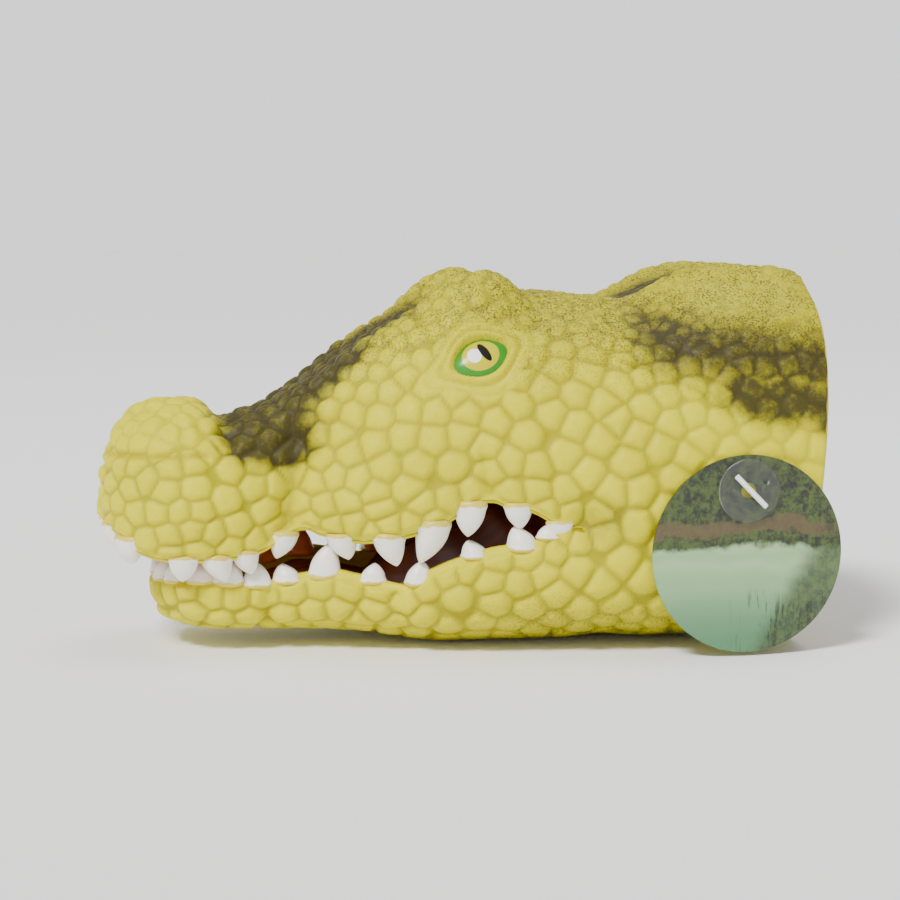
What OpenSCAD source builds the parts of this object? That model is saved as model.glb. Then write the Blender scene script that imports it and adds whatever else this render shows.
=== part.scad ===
// Moving mouth puppet: a hollow moulded rubber crocodile head, worn on the hand.
// The fingers fill the pocket over the palate and the thumb fills the pocket under the mouth
// floor. Closing the hand shuts the mouth; letting go lets the rubber spring back.
//
// Frame: +Z up, snout towards -Y, the animal's left is +X, the table is z = 0.
// The origin is on the table under the middle of the neck sleeve.
// Stations along the head are distances from the snout tip, in millimetres.

/* [Head] */
// Length from the snout tip to the rim of the hand opening
head_l = 165; // [140:1:190]
// Width over the neck
head_w = 95; // [80:1:110]
// Height over the neck
head_h = 92.5; // [75:0.5:105]
// Distance that the top of the rim leans back past its foot
rim_lean = 6.5; // [0:0.5:12]
// Thickness of the rubber wall
wall = 3; // [2:0.25:4]
// Thickness of the mouth linings
lining = 2; // [1.5:0.25:3]

/* [Mouth] */
// Station of the mouth corner, where the jaw bends
hinge_at = 107.8; // [100:0.1:115]
// Height of the mouth corner
hinge_z = 30; // [26:0.5:34]
// Length of the throat that folds when the jaw opens
throat_l = 21; // [20:0.5:26]
// Gap between the jaw and the parts it moves against
gap = 0.3; // [0.2:0.05:0.6]

/* [Teeth] */
// Radius of a tooth of full size at the gum
tooth_r = 2.4; // [1.8:0.1:3]
// Gap left between a tooth's foot and its lip
tooth_gap = 0.35; // [0.1:0.05:0.5]

/* [Eyes] */
// Station of the middle of an eye
eye_at = 86; // [80:0.5:92]
// Height of the middle of an eye
eye_z = 69; // [60:0.5:75]
// Radius of the eyeball's visible rim
eye_r = 5.6; // [4:0.1:7]

/* [Hang tag] */
// Radius of the card
card_r = 23.5; // [15:0.5:30]
// Thickness of the card
card_t = 0.5; // [0.3:0.1:1]
// Distance from the card's middle to its hole
card_hole_off = 15; // [10:0.5:20]
// Radius of the card's hole
card_hole_r = 1.9; // [1:0.1:3]
// Radius of the clear washer
washer_r = 7.5; // [5:0.5:10]
// Thickness of the clear washer
washer_t = 0.8; // [0.5:0.1:1.5]
// Distance of the tack ahead of the rim
tack_ahead = 18; // [12:1:30]
// Height of the tack
tack_z = 39.5; // [39.5:0.5:50]
// Radius of the tack's shank
tack_r = 0.5; // [0.4:0.05:0.8]
// Length of the tack's cross bar
tack_bar_l = 10.4; // [8:0.2:14]

/* [Hidden] */
design_l = 165;
design_w = 95;
design_h = 89;
k_l = head_l / design_l;
k_w = head_w / design_w;
k_h = head_h / design_h;
origin_at = 147;
eps = 0.01;
bar_angle = 45;
rim_at = design_l;
upper_rows = 40;
lower_rows = 26;
sleeve_at = hinge_at + throat_l;
throat_lift = 0.8;

rubber_yellow = "#E6DC5A";
lining_orange = "#EE9F5C";
tooth_white = "#F6F2E4";
eye_green = "#4FA33A";
card_olive = "#8E9A4A";
clear_plastic = "#DCE6E8";
tack_white = "#FAFAF6";

// Half width of the upper lip's outline at a station.
upper_half = [
    [0, 0], [0.6, 5.5], [2, 10.5], [4, 14], [7, 17.5], [11, 20], [16, 21.8], [22, 22.5],
    [28, 22.5], [36, 21], [44, 21.5], [52, 25], [60, 29], [70, 33], [80, 36], [90, 38.5],
    [100, 41], [110, 43.5], [120, 45.5], [135, 47], [150, 47.5], [165, 47]
];
// Height of the upper lip's edge.
upper_lip = [
    [0, 31], [4, 26.5], [7.3, 23.3], [23, 22.4], [34.4, 23.7], [42.3, 27.7], [46, 29.2],
    [50, 27.6], [58, 26.5], [67, 27.7], [74, 29.9], [80.7, 33.3], [87, 36.2], [91, 35],
    [96.5, 34.2], [103, 32.2], [107.8, 30.2], [165, 30.2]
];
// Height of the back along the middle line.
spine_top = [
    [0, 53], [6, 56], [12, 57], [22, 57], [26, 54.6], [30, 53.6], [38, 55], [44.6, 58.4],
    [51.4, 62.2], [58, 66.8], [65, 71.4], [72, 75.2], [80, 78], [90, 79], [100, 80.5],
    [110, 80.9], [117, 80.4], [122, 79.6], [127, 79.4], [133, 81.3], [139, 84], [146, 85.2],
    [155, 85.6], [160, 86], [165, 85.2]
];
// Half width of the lower lip's outline.
lower_half = [
    [0, 0], [0.6, 5], [1.5, 8], [3, 10.5], [6, 14], [12, 17], [20, 18.5], [32, 19.5],
    [44, 24], [58, 30], [73, 36], [88, 40.5], [95.5, 42.8]
];
// Height of the lower lip's edge.
lower_lip = [
    [12, 16.4], [24, 16.9], [38, 15.8], [45.7, 17.5], [52.5, 18.4], [58, 17.5], [68.3, 15.4],
    [74, 19.2], [80.7, 22], [88.6, 24.5], [96.5, 25.6], [103.3, 27.9], [107.5, 29.4]
];
// Height of the jaw's underside along the middle line.
keel = [[12, 5], [22, 4], [40, 3.2], [56, 2.6], [66, 1.4], [74, 0.3], [78, 0], [107.5, 0]];
// The jaw tip stands this far behind the snout tip.
jaw_at = 12;

// Stations of the teeth, counted along each lip, with their lengths.
upper_teeth = [
    [0.8, 4.6], [4.2, 4.8], [17, 4.6], [25, 4.8], [32.3, 4.4], [41.1, 4.6],
    [53.4, 4.4], [63.9, 5.6], [74, 7.4], [82.7, 6], [93.4, 4.3], [103, 3]
];
lower_teeth = [
    [0.7, 4], [3.2, 4.2], [9.2, 4.2], [16, 5.2], [22.8, 4], [30, 3.2],
    [38.1, 6], [49, 3.4], [59.2, 4], [71.7, 3], [82.6, 4], [88.4, 2.4]
];
sides = ["left", "right"];

function from_tip(s) = s - origin_at;
function place(x, s, z) = [x * k_w, from_tip(s) * k_l, z * k_h];
function mixed(a, b, t) = a + (b - a) * t;
function eased(t) = let(c = max(0, min(1, t))) c * c * (3 - 2 * c);
function hump(d, w) = exp(-pow(d / w, 2));

// Stations closer together at the rounded tip than along the straight sides.
function stations(first, last, n) =
    [for (i = [0 : n]) mixed(first, last, pow(i / n, 1.75))];

// Point of a plan outline at station s, and its outward normal in plan.
function outline(s, halves) = [lookup(s, halves), s];
function outward(s, halves) =
    s <= 0 ? [0, -1] : let(
        d = outline(s + 0.3, halves) - outline(max(0, s - 0.3), halves)
    ) [d[1], -d[0]] / norm(d);
function inset(s, halves, by) = outline(s, halves) - by * outward(s, halves);

// Two eyebrow ridges and two neck ridges stand up beside the middle line.
function ridges(x, s) =
    (8.5 * hump(s - 86, 10) + 4.4 * hump(s - 94.5, 7)) * hump(abs(x) - 17, 7)
    + (1.6 + 2.2 * hump(s - 147, 12)) * eased((s - 100) / 8) * hump(abs(x) - 15, 6);
// A round nostril pad stands on the snout tip.
function nostrils(x, s) = 1.5 * hump(s - 15, 8) * hump(abs(x) - 9, 7);

// A section runs from one lip over the middle line to the other lip.
// across is 0 and 1 at the lips; the corner power squares the section's shoulders.
function arch_x(across, power) = sign(0.5 - across) * pow(cos(90 * climb(across)), power);
function arch_z(across, power) = pow(sin(90 * climb(across)), power);
function climb(across) = 1 - abs(2 * across - 1);

// Closed solid between an outer and an inner sheet of points. A folded sheet has its first row
// doubled back on itself, so that its two halves share those points.
module thick_sheet(outer, inner, folded = false) {
    rows = len(outer) - 1;
    cols = len(outer[0]) - 1;
    size = (rows + 1) * (cols + 1);
    at = function (sheet, i, j)
        sheet * size + i * (cols + 1) + (folded && i == 0 ? min(j, cols - j) : j);
    quad = function (a, b, c, d) [[a, b, c], [a, c, d]];
    skins = [
        for (i = [0 : rows - 1], j = [0 : cols - 1]) each concat(
            quad(at(0, i, j), at(0, i, j + 1), at(0, i + 1, j + 1), at(0, i + 1, j)),
            quad(at(1, i, j), at(1, i + 1, j), at(1, i + 1, j + 1), at(1, i, j + 1))
        )
    ];
    lips = [
        for (i = [0 : rows - 1]) each concat(
            quad(at(0, i, 0), at(0, i + 1, 0), at(1, i + 1, 0), at(1, i, 0)),
            quad(at(0, i, cols), at(1, i, cols), at(1, i + 1, cols), at(0, i + 1, cols))
        )
    ];
    rear = [
        for (j = [0 : cols - 1]) each
            quad(at(0, rows, j), at(0, rows, j + 1), at(1, rows, j + 1), at(1, rows, j))
    ];
    front = folded ? [] : [
        for (j = [0 : cols - 1]) each
            quad(at(0, 0, j), at(1, 0, j), at(1, 0, j + 1), at(0, 0, j + 1))
    ];
    kept = [
        for (f = concat(skins, lips, rear, front))
            if (f[0] != f[1] && f[1] != f[2] && f[2] != f[0]) f
    ];
    polyhedron(points = [for (row = concat(outer, inner)) each row], faces = kept);
}

// Upper skin: the roof of the head from the lips, over the back, and down the neck sides.
function roof_row(s, by, cols) = let(
    foot = inset(s, upper_half, by),
    lead = 14 * (1 - eased(s / 34)),
    crest = s + lead,
    top = lookup(crest, spine_top) - by,
    lip = lookup(s, upper_lip)
) [
    for (j = [0 : cols]) let(
        x = foot[0] * arch_x(j / cols, 0.72),
        along = mixed(foot[1], max(crest, foot[1]), 1 - abs(arch_x(j / cols, 0.9))),
        rise = arch_z(j / cols, 0.8),
        bumps = by > 0 ? 0 : rise * (ridges(x, along) + nostrils(x, along)),
        leaning = rim_lean * rise * eased((s - 128) / (rim_at - 128))
    ) place(x, along + leaning, mixed(lip, top, rise) + bumps)
];

module head_skin(rows = upper_rows, cols = 36) {
    s = stations(0, rim_at, rows);
    color(rubber_yellow)
        thick_sheet(
            [for (v = s) roof_row(v, 0, cols)],
            [for (v = s) roof_row(v, wall, cols)],
            folded = true
        );
}

// Lower skin: from one lip, under the jaw, to the other lip. Stations run from the jaw tip.
function hull_row(s, by, cols) = let(
    foot = inset(s, lower_half, by),
    crest = s + 10 * (1 - eased(s / 30)),
    under = lookup(jaw_at + crest, keel) + by,
    lip = lookup(jaw_at + s, lower_lip)
) [
    for (j = [0 : cols]) let(
        along = mixed(foot[1], max(crest, foot[1]), 1 - abs(arch_x(j / cols, 0.9))),
        drop = min(1, 1.02 * arch_z(j / cols, 0.7))
    ) place(-foot[0] * arch_x(j / cols, 0.62), jaw_at + along, mixed(lip, under, drop))
];

module jaw_skin(rows = lower_rows, cols = 32) {
    s = stations(0, hinge_at - jaw_at - gap, rows);
    color(rubber_yellow)
        thick_sheet(
            [for (v = s) hull_row(v, 0, cols)],
            [for (v = s) hull_row(v, wall, cols)],
            folded = true
        );
}

// Underside of the throat and of the neck sleeve, closing the tube below the upper skin.
function under_row(s, by, lift, cols) = let(half = lookup(s, upper_half) - by) [
    for (j = [0 : cols]) let(drop = min(1, 1.02 * arch_z(j / cols, 0.7)))
        place(-half * arch_x(j / cols, 0.62), s, mixed(hinge_z, lift + by, drop))
];

module underside(first, last, lift, rows, cols = 32) {
    s = [for (i = [0 : rows]) mixed(first, last, i / rows)];
    thick_sheet(
        [for (v = s) under_row(v, 0, lift, cols)],
        [for (v = s) under_row(v, wall, lift, cols)]
    );
}

module throat_web() {
    color(rubber_yellow)
        underside(hinge_at + gap, sleeve_at - gap, throat_lift, rows = 4);
}

module neck_sleeve() {
    color(rubber_yellow) underside(sleeve_at, rim_at, 0, rows = 6);
}

// Mouth lining: a sheet across the mouth, arched away from the teeth.
// way is 1 for the palate above and -1 for the floor below. Its hidden side, off away from the
// mouth, is narrower, to clear the skin where that curves in.
function lining_row(s, first, halves, lips, rise, way, off, cols) = let(
    half = inset(s, halves, wall + 0.8 + 0.6 * off)[0],
    edge = lookup(first + s, lips) + way * 0.5
) [
    for (j = [0 : cols]) let(t = way * (1 - 2 * j / cols))
        place(half * t, first + s, edge + way * (off + rise * (1 - pow(t, 4))))
];

module palate_lining(rows = 18, cols = 16) {
    s = [for (i = [0 : rows]) mixed(5, hinge_at - 2, i / rows)];
    rise = function (v) mixed(5, 9, eased(v / 30)) * (1 - 0.6 * eased((v - 75) / 30));
    color(lining_orange)
        thick_sheet(
            [for (v = s) lining_row(v, 0, upper_half, upper_lip, rise(v), 1, lining, cols)],
            [for (v = s) lining_row(v, 0, upper_half, upper_lip, rise(v), 1, 0, cols)]
        );
}

module floor_lining(rows = 16, cols = 16) {
    s = [for (i = [0 : rows]) mixed(5, hinge_at - jaw_at - gap, i / rows)];
    rise = function (v) 2 * (1 - 0.6 * eased((v - 60) / 30));
    color(lining_orange)
        thick_sheet(
            [for (v = s)
                lining_row(v, jaw_at, lower_half, lower_lip, rise(v), -1, lining, cols)],
            [for (v = s) lining_row(v, jaw_at, lower_half, lower_lip, rise(v), -1, 0, cols)]
        );
}

// Tooth: a cone with slightly swollen sides and a rounded point, standing on its gum.
module tooth(l) {
    r = tooth_r * mixed(0.8, 1.1, (l - 3) / 4);
    rotate_extrude($fn = 48)
        polygon([
            [0, 0], [r, 0], [0.88 * r, 0.3 * l], [0.62 * r, 0.64 * l], [0.3 * r, 0.9 * l],
            [0.12 * r, 0.98 * l], [0, l]
        ]);
}

// Height of a lip at each station of its skin, and a tooth's seat there, [slope, height]: the
// slope of the lip along its outline under the tooth, and the height at which a foot with that
// slope clears it. way is 1 for a tooth that stands up and -1 for one that hangs down.
function edge_of(stations, first, lips) = [for (v = stations) [v, lookup(first + v, lips)]];
function seat(s, halves, edge, way) = let(
    reach = 1.1 * tooth_r,
    run = reach * outward(s, halves)[0],
    slope = k_h * (lookup(s + run, edge) - lookup(s - run, edge)) / (2 * reach),
    lip = [for (u = [-1 : 0.125 : 1]) k_h * lookup(s + u * run, edge) - slope * u * reach]
) [slope, way > 0 ? max(lip) + tooth_gap : min(lip) - tooth_gap];

module seated_tooth(side, s, l, halves, first, edge, way) {
    foot = inset(s, halves, 1.9);
    flank = side == "left" ? 1 : -1;
    on = seat(s, halves, edge, way);
    across = outward(s, halves);
    color(tooth_white)
        translate([flank * foot[0] * k_w, from_tip(first + foot[1]) * k_l, on[1]])
            rotate(a = atan(on[0]), v = [across[0], flank * across[1], 0])
                rotate([way > 0 ? 0 : 180, 0, 0]) tooth(l);
}

module upper_tooth(side, k) {
    edge = edge_of(stations(0, rim_at, upper_rows), 0, upper_lip);
    seated_tooth(side, upper_teeth[k][0], upper_teeth[k][1], upper_half, 0, edge, -1);
}

module lower_tooth(side, k) {
    edge = edge_of(stations(0, hinge_at - jaw_at - gap, lower_rows), jaw_at, lower_lip);
    seated_tooth(side, lower_teeth[k][0], lower_teeth[k][1], lower_half, jaw_at, edge, 1);
}

// Eye: a shallow dome on the side of the head, facing out and up.
module eye(side) {
    dome_r = 9;
    dome_h = dome_r - sqrt(dome_r * dome_r - eye_r * eye_r);
    arch = acos(pow((eye_z - lookup(eye_at, upper_lip))
        / (lookup(eye_at, spine_top) - lookup(eye_at, upper_lip)), 1 / 0.8));
    x = lookup(eye_at, upper_half) * pow(cos(90 - arch), 0.72);
    color(eye_green)
        translate(place((side == "left" ? 1 : -1) * (x + 1.7), eye_at, eye_z))
            rotate([0, side == "left" ? 52 : -52, 0])
                intersection() {
                    translate([0, 0, dome_h - dome_r]) sphere(r = dome_r, $fn = 64);
                    cylinder(r = eye_r, h = dome_h + 1, $fn = 64);
                }
}

module eye_left() {
    eye("left");
}

module eye_right() {
    eye("right");
}

// Hang tag, on the left side of the neck. Its disc hangs from the tack's shank.
skin_x = lookup(rim_at - tack_ahead, upper_half) * k_w;
card_x = skin_x + 0.9;
washer_x = card_x + card_t + 0.15;
bar_x = washer_x + washer_t + gap;
tack_y = from_tip(rim_at - tack_ahead) * k_l;

module on_tack(x) {
    translate([x, tack_y, tack_z]) rotate([90, 0, 90]) children();
}

module tag_card() {
    color(card_olive)
        on_tack(card_x)
            difference() {
                translate([0, -card_hole_off, 0]) cylinder(r = card_r, h = card_t, $fn = 96);
                translate([0, 0, -eps]) cylinder(r = card_hole_r, h = card_t + 2 * eps, $fn = 48);
            }
}

module tag_washer() {
    color(clear_plastic)
        on_tack(washer_x)
            difference() {
                cylinder(r = washer_r, h = washer_t, $fn = 64);
                translate([0, 0, -eps])
                    cylinder(r = tack_r + 0.3, h = washer_t + 2 * eps, $fn = 32);
                translate([0.55 * washer_r, 0.25 * washer_r, -eps])
                    cylinder(r = 0.6, h = washer_t + 2 * eps, $fn = 32);
            }
}

module tack_bar() {
    rotate([90, 0, bar_angle])
        cylinder(r = 1.3 * tack_r, h = tack_bar_l, center = true, $fn = 32);
}

module tag_tack() {
    inner_x = skin_x - wall - 2 * tack_r - 0.4;
    outer_x = bar_x + 1.3 * tack_r;
    color(tack_white) {
        on_tack(inner_x) cylinder(r = tack_r, h = outer_x - inner_x, $fn = 32);
        on_tack(inner_x) tack_bar();
        on_tack(outer_x) tack_bar();
    }
}

head_skin();
neck_sleeve();
throat_web();
palate_lining();
jaw_skin();
floor_lining();
eye_left();
eye_right();
for (side = sides, k = [1 : len(upper_teeth)])
    upper_tooth(side, k - 1);
for (side = sides, k = [1 : len(lower_teeth)])
    lower_tooth(side, k - 1);
tag_card();
tag_washer();
tag_tack();
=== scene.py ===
"""Looks of the crocodile moving mouth puppet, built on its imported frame.

The puppet is one hollow casting of soft rubber, sprayed and brushed with paint, with a card tag
tacked to its neck. Shapes are worked out in millimetres: x across (the animal's left is plus),
s along the head from the snout tip, z up from the table.
"""

import math

import bpy
import numpy as np
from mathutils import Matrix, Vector


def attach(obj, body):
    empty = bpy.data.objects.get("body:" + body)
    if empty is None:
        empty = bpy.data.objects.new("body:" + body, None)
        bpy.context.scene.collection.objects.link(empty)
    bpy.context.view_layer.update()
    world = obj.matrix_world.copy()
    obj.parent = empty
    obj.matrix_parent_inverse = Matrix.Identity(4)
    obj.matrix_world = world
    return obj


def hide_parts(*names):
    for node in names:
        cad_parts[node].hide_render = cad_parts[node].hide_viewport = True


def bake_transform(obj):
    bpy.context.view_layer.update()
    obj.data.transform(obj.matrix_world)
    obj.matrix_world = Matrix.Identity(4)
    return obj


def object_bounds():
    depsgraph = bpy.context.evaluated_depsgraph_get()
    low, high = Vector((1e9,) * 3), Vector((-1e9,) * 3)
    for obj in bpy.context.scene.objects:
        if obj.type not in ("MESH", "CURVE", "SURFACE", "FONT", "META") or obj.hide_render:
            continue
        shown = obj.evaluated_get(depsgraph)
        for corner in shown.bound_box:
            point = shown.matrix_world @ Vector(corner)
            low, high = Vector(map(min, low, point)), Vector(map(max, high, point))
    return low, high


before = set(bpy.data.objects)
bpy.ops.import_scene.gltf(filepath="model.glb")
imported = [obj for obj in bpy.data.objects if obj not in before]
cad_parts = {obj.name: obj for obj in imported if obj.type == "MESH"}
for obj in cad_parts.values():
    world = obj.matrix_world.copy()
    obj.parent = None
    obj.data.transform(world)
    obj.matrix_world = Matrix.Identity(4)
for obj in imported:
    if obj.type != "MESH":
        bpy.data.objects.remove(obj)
cad_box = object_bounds()

MM = 0.001

# Places along the head: the frame's origin, the rim, the mouth corner with its hinge, the jaw tip.
ORIGIN_AT = 147.0
RIM_AT = 165.0
HINGE_AT = 107.8
HINGE_Z = 30.0
JAW_AT = 12.0
# Thickness of the rubber, the backward lean of the rim's top, and the place the lean starts.
WALL = 3.0
RIM_LEAN = 6.5
LEAN_FROM = 128.0
# Heights in the tables below, and z wherever a pattern is laid out, are for a head 89 mm tall.
TALL = 92.5 / 89.0

# Grid of the skins: mm between front rows, columns over and under, rows from the corner to the rim,
# round its edge and back inside, and the stride of the inner front rows.
GRID = 0.62
OVER_COLUMNS, UNDER_COLUMNS = 279, 199
REAR_ROWS, RIM_ROWS, INNER_ROWS, INNER_STRIDE = 90, 5, 12, 12
# Grid of the linings: mm between rows, columns, and rows of the wall at the back of the mouth.
LINING_GRID, LINING_COLUMNS, THROAT_ROWS = 1.1, 121, 13
# Swelling of the rim's edge, and depth, swelling and columns of the rolled lips.
RIM_ROUND = 0.9
LIP_DEEP, LIP_ROUND, LIP_COLUMNS = 2.8, 0.32, 7
# How far inside the lip's outline, and off its edge, the linings start.
LINING_IN, LINING_OFF = 2.7, 0.2

# Each vault: how far its crest is led back at the tip, and the powers of its arch across and up.
ROOF_ARCH = (14.0, 0.72, 0.8)
HULL_ARCH = (11.0, 0.62, 0.7)
PALATE_ARCH = (10.0, 0.7, 0.6)
FLOOR_ARCH = (10.0, 0.7, 0.55)

# Half width of the upper lip's outline, by distance from the snout tip.
UPPER_HALF = [
    (0, 0), (0.6, 5.5), (2, 10.5), (4, 14), (7, 17.5), (11, 20), (16, 21.8), (22, 22.5),
    (28, 22.5), (36, 21), (44, 21.5), (52, 25), (60, 29), (70, 33), (80, 36), (90, 38.5),
    (100, 41), (110, 43.5), (120, 45.5), (135, 47), (150, 47.5), (165, 47),
]
# Height of the upper lip's edge.
UPPER_LIP = [
    (0, 29.5), (4, 26.5), (7.3, 24), (14, 22.6), (23, 22.4), (34.4, 23.7), (40, 26.4),
    (44, 28.9), (46, 29.2), (49, 28), (58, 26.5), (67, 27.7), (74, 29.9), (80.7, 33.3),
    (86, 36.2), (88, 36.2), (91, 35), (96.5, 34), (102, 31.2), (105, 30.1), (107.8, 30), (165, 30),
]
# Height of the back along the middle line.
SPINE_TOP = [
    (0, 53), (6, 56), (12, 57), (22, 57), (26, 54.6), (30, 53.6), (38, 55), (44.6, 58.4),
    (51.4, 62.2), (58, 66.8), (65, 71.4), (72, 75.2), (80, 78), (90, 79), (100, 80.5),
    (110, 80.9), (117, 80.4), (122, 79.6), (127, 79.4), (133, 81.3), (139, 84), (146, 85.2),
    (155, 85.6), (160, 86), (165, 85.2),
]
# Half width of the lower lip's outline, by distance from the jaw tip.
LOWER_HALF = [
    (0, 0), (0.6, 5), (1.5, 8), (3, 10.5), (6, 14), (12, 17), (20, 18.5), (32, 19.5),
    (44, 24), (58, 30), (73, 36), (88, 40.5), (95.8, 42.9),
]
# Height of the lower lip's edge.
LOWER_LIP = [
    (12, 16.4), (24, 16.9), (38, 15.8), (45.7, 17.5), (52.5, 18.4), (58, 17.5), (66, 15.6),
    (68.3, 15.2), (70.5, 16.4), (74, 19.2), (80.7, 22), (88.6, 24.5), (96.5, 25.6),
    (102, 28.6), (105, 29.9), (107.8, 30), (165, 30),
]
# Height of the underside along the middle line.
KEEL = [
    (12, 5.4), (22, 4), (40, 3.4), (58, 2.8), (68, 1.6), (76, 0.3), (80, 0), (107.8, 0),
    (118, 0.8), (129, 0), (165, 0),
]
# Rise of the palate over the upper lip, and fall of the mouth floor under the lower lip.
PALATE_RISE = [(0, 3.5), (12, 6), (30, 9), (75, 8), (100, 5), (107.8, 4)]
FLOOR_FALL = [(12, 2), (24, 5), (60, 6), (90, 6.5), (107.8, 5)]

# Teeth: distance from the lip's own tip, along the head, and length.
UPPER_TEETH = [
    (0.8, 4.6), (4.2, 5.0), (17, 4.6), (25, 4.8), (32.3, 4.4), (41.1, 4.8),
    (53.4, 4.6), (63.9, 5.8), (74, 7.6), (82.7, 6.2), (93.4, 4.6), (103, 3.2),
]
LOWER_TEETH = [
    (0.7, 4.0), (3.2, 4.4), (9.2, 4.4), (16, 5.4), (22.8, 4.2), (30, 3.4),
    (38.1, 6.2), (49, 3.6), (59.2, 4.2), (71.7, 3.2), (82.6, 4.2), (88.4, 2.6),
]

# Teeth are drawn longer than their table by this much, and rooted this far inside the lip.
TOOTH_STRETCH = 1.18
TOOTH_ROOT = 1.7

# The eyes: place, half length, half height, tilt, narrowing at the corners, reach of the lids, and
# a distance that stands for beyond.
EYE_AT = 86.5
EYE_Z = 68.2
EYE_LONG = 6.9
EYE_TALL = 4.9
EYE_TILT = math.radians(18)
EYE_PINCH = 0.28
EYE_REACH = 40.0
FAR_OFF = 9.0

# The crease across the upper lip, the ledge round the nostril knob, and the slope of the line on
# which the cheek meets the bridge of the snout.
SEAM_AT, SEAM_SLANT = 41.5, 0.12
LEDGE_Z = 45.3
BRIDGE_SLOPE = 0.42

# How many skin points are tried as plate middles, in how many batches, and how close two may be.
PLATE_TRIES, PLATE_BATCHES, PLATE_CROWD = 26000, 130, 0.9


# -------- shapes


def eased(t):
    """Smooth step: 3t^2 - 2t^3, with t held between 0 and 1."""
    t = np.clip(t, 0, 1)
    return t * t * (3 - 2 * t)


def hump(d, width):
    """Bell: e to the minus (d / width) squared."""
    return np.exp(-((d / width) ** 2))


def mixed(a, b, t):
    """Point t of the way from a to b."""
    return a + (b - a) * t


def smooth_curve(table, at):
    """Monotone cubic through a table's points. Each span is a Hermite cubic, and the slope at a
    point is the weighted harmonic mean of the chords beside it, or zero where they differ in sign.
    """
    x, y = np.array(table, float).T
    h = np.diff(x)
    chord = np.diff(y) / h
    before, after = chord[:-1], chord[1:]
    w1, w2 = 2 * h[1:] + h[:-1], h[1:] + 2 * h[:-1]
    same = before * after > 0
    bottom = w1 / np.where(same, before, 1) + w2 / np.where(same, after, 1)
    slope = np.concatenate([[chord[0]], np.where(same, (w1 + w2) / bottom, 0), [chord[-1]]])
    at = np.clip(at, x[0], x[-1])
    k = np.clip(np.searchsorted(x, at, side="right") - 1, 0, len(h) - 1)
    t = (at - x[k]) / h[k]
    return (
        (1 + 2 * t) * (1 - t) ** 2 * y[k]
        + t * (1 - t) ** 2 * h[k] * slope[k]
        + t * t * (3 - 2 * t) * y[k + 1]
        + t * t * (t - 1) * h[k] * slope[k + 1]
    )


def half_width(table, s):
    """Half width of an outline, read on the square root of the distance so that the tip is round."""
    on_root = [(math.sqrt(a), b) for a, b in table]
    return smooth_curve(on_root, np.sqrt(np.maximum(s, 0)))


def upper_half(s):
    """Half width over the upper lip."""
    return half_width(UPPER_HALF, s)


def lower_half(s):
    """Half width over the lower lip; behind the mouth corner it is the upper skin's."""
    return mixed(
        half_width(LOWER_HALF, s - JAW_AT), upper_half(s), eased((s - 98) / (HINGE_AT - 98))
    )


def upper_lip(s):
    """Height of the upper lip's edge."""
    return smooth_curve(UPPER_LIP, s)


def lower_lip(s):
    """Height of the lower lip's edge."""
    return smooth_curve(LOWER_LIP, s)


def past_seam(s, z):
    """Distance behind the slanting crease across the upper lip, mm."""
    return s - SEAM_AT - SEAM_SLANT * (z - HINGE_Z)


def bridge_line(s, start):
    """Height of the line on which the cheek meets the bridge, from its height at the snout tip."""
    return BRIDGE_SLOPE * s + start


def foot_line(halves, first, s, inside):
    """Plan outline (x, s) moved in by a distance along its normal, which is across its tangent."""
    step = 0.05
    ahead, behind = s + step, np.maximum(s - step, first)
    dx, ds = halves(ahead) - halves(behind), ahead - behind
    tip = s <= first + 1e-6
    long = np.hypot(dx, ds)
    nx, ns = np.where(tip, 0, ds / long), np.where(tip, -1, -dx / long)
    return halves(s) - inside * nx, s - inside * ns


def even_stations(halves, first, last, step):
    """Stations from the tip to last, evenly spaced along the outline in plan."""
    s = first + np.linspace(0, math.sqrt(last - first), 4000) ** 2
    run = np.concatenate([[0], np.cumsum(np.hypot(np.diff(halves(s)), np.diff(s)))])
    return np.interp(np.linspace(0, run[-1], int(run[-1] / step) + 1), run, s)


def section_angles(count, wide, high, px, pz):
    """Angles from 0 to pi over a squared arch, evenly spaced along a typical section."""
    a = np.linspace(0, math.pi, 4001)
    x = wide * np.sign(np.cos(a)) * np.abs(np.cos(a)) ** px
    z = high * np.abs(np.sin(a)) ** pz
    run = np.concatenate([[0], np.cumsum(np.hypot(np.diff(x), np.diff(z)))])
    even = np.interp(np.linspace(0, run[-1], count), run, a)
    even[count // 2] = math.pi / 2
    return even


def vault(s, a, halves, first, inside, lip, crest_z, lead, px, pz):
    """Arched surface from one lip to the other. At section angle a, x is the half width times
    cos^px, height goes from the lip to the crest as sin^pz, and the crest line is led back at the
    tip. Returns x, s, z and the rise share."""
    foot_x, foot_s = foot_line(halves, first, s, inside)
    lead_back = lead * (1 - eased((s - first) / (2.4 * lead)))
    crest_s = np.maximum(s + lead_back, foot_s)
    c, w = np.cos(a)[None, :], np.abs(np.sin(a))[None, :]
    flat = np.abs(c) ** px
    x = foot_x[:, None] * np.sign(c) * flat
    along = mixed(foot_s[:, None], crest_s[:, None], 1 - np.abs(c) ** 0.9)
    rise = w**pz
    z = mixed(lip(s)[:, None], crest_z(crest_s)[:, None], rise)
    return x, along, z, rise


def ridges(x, s):
    """Two eyebrow ridges, two neck ridges behind them, and the square shoulders of the bridge."""
    brow = (8.5 * hump(s - 86, 10) + 4.4 * hump(s - 94.5, 7)) * hump(np.abs(x) - 17, 8.5)
    neck = (1.6 + 2.2 * hump(s - 147, 12)) * eased((s - 100) / 8) * hump(np.abs(x) - 15, 6)
    shoulders = 2.9 * hump(s - 57, 16) * hump(np.abs(x) - 15, 7)
    return brow + neck + shoulders


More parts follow.
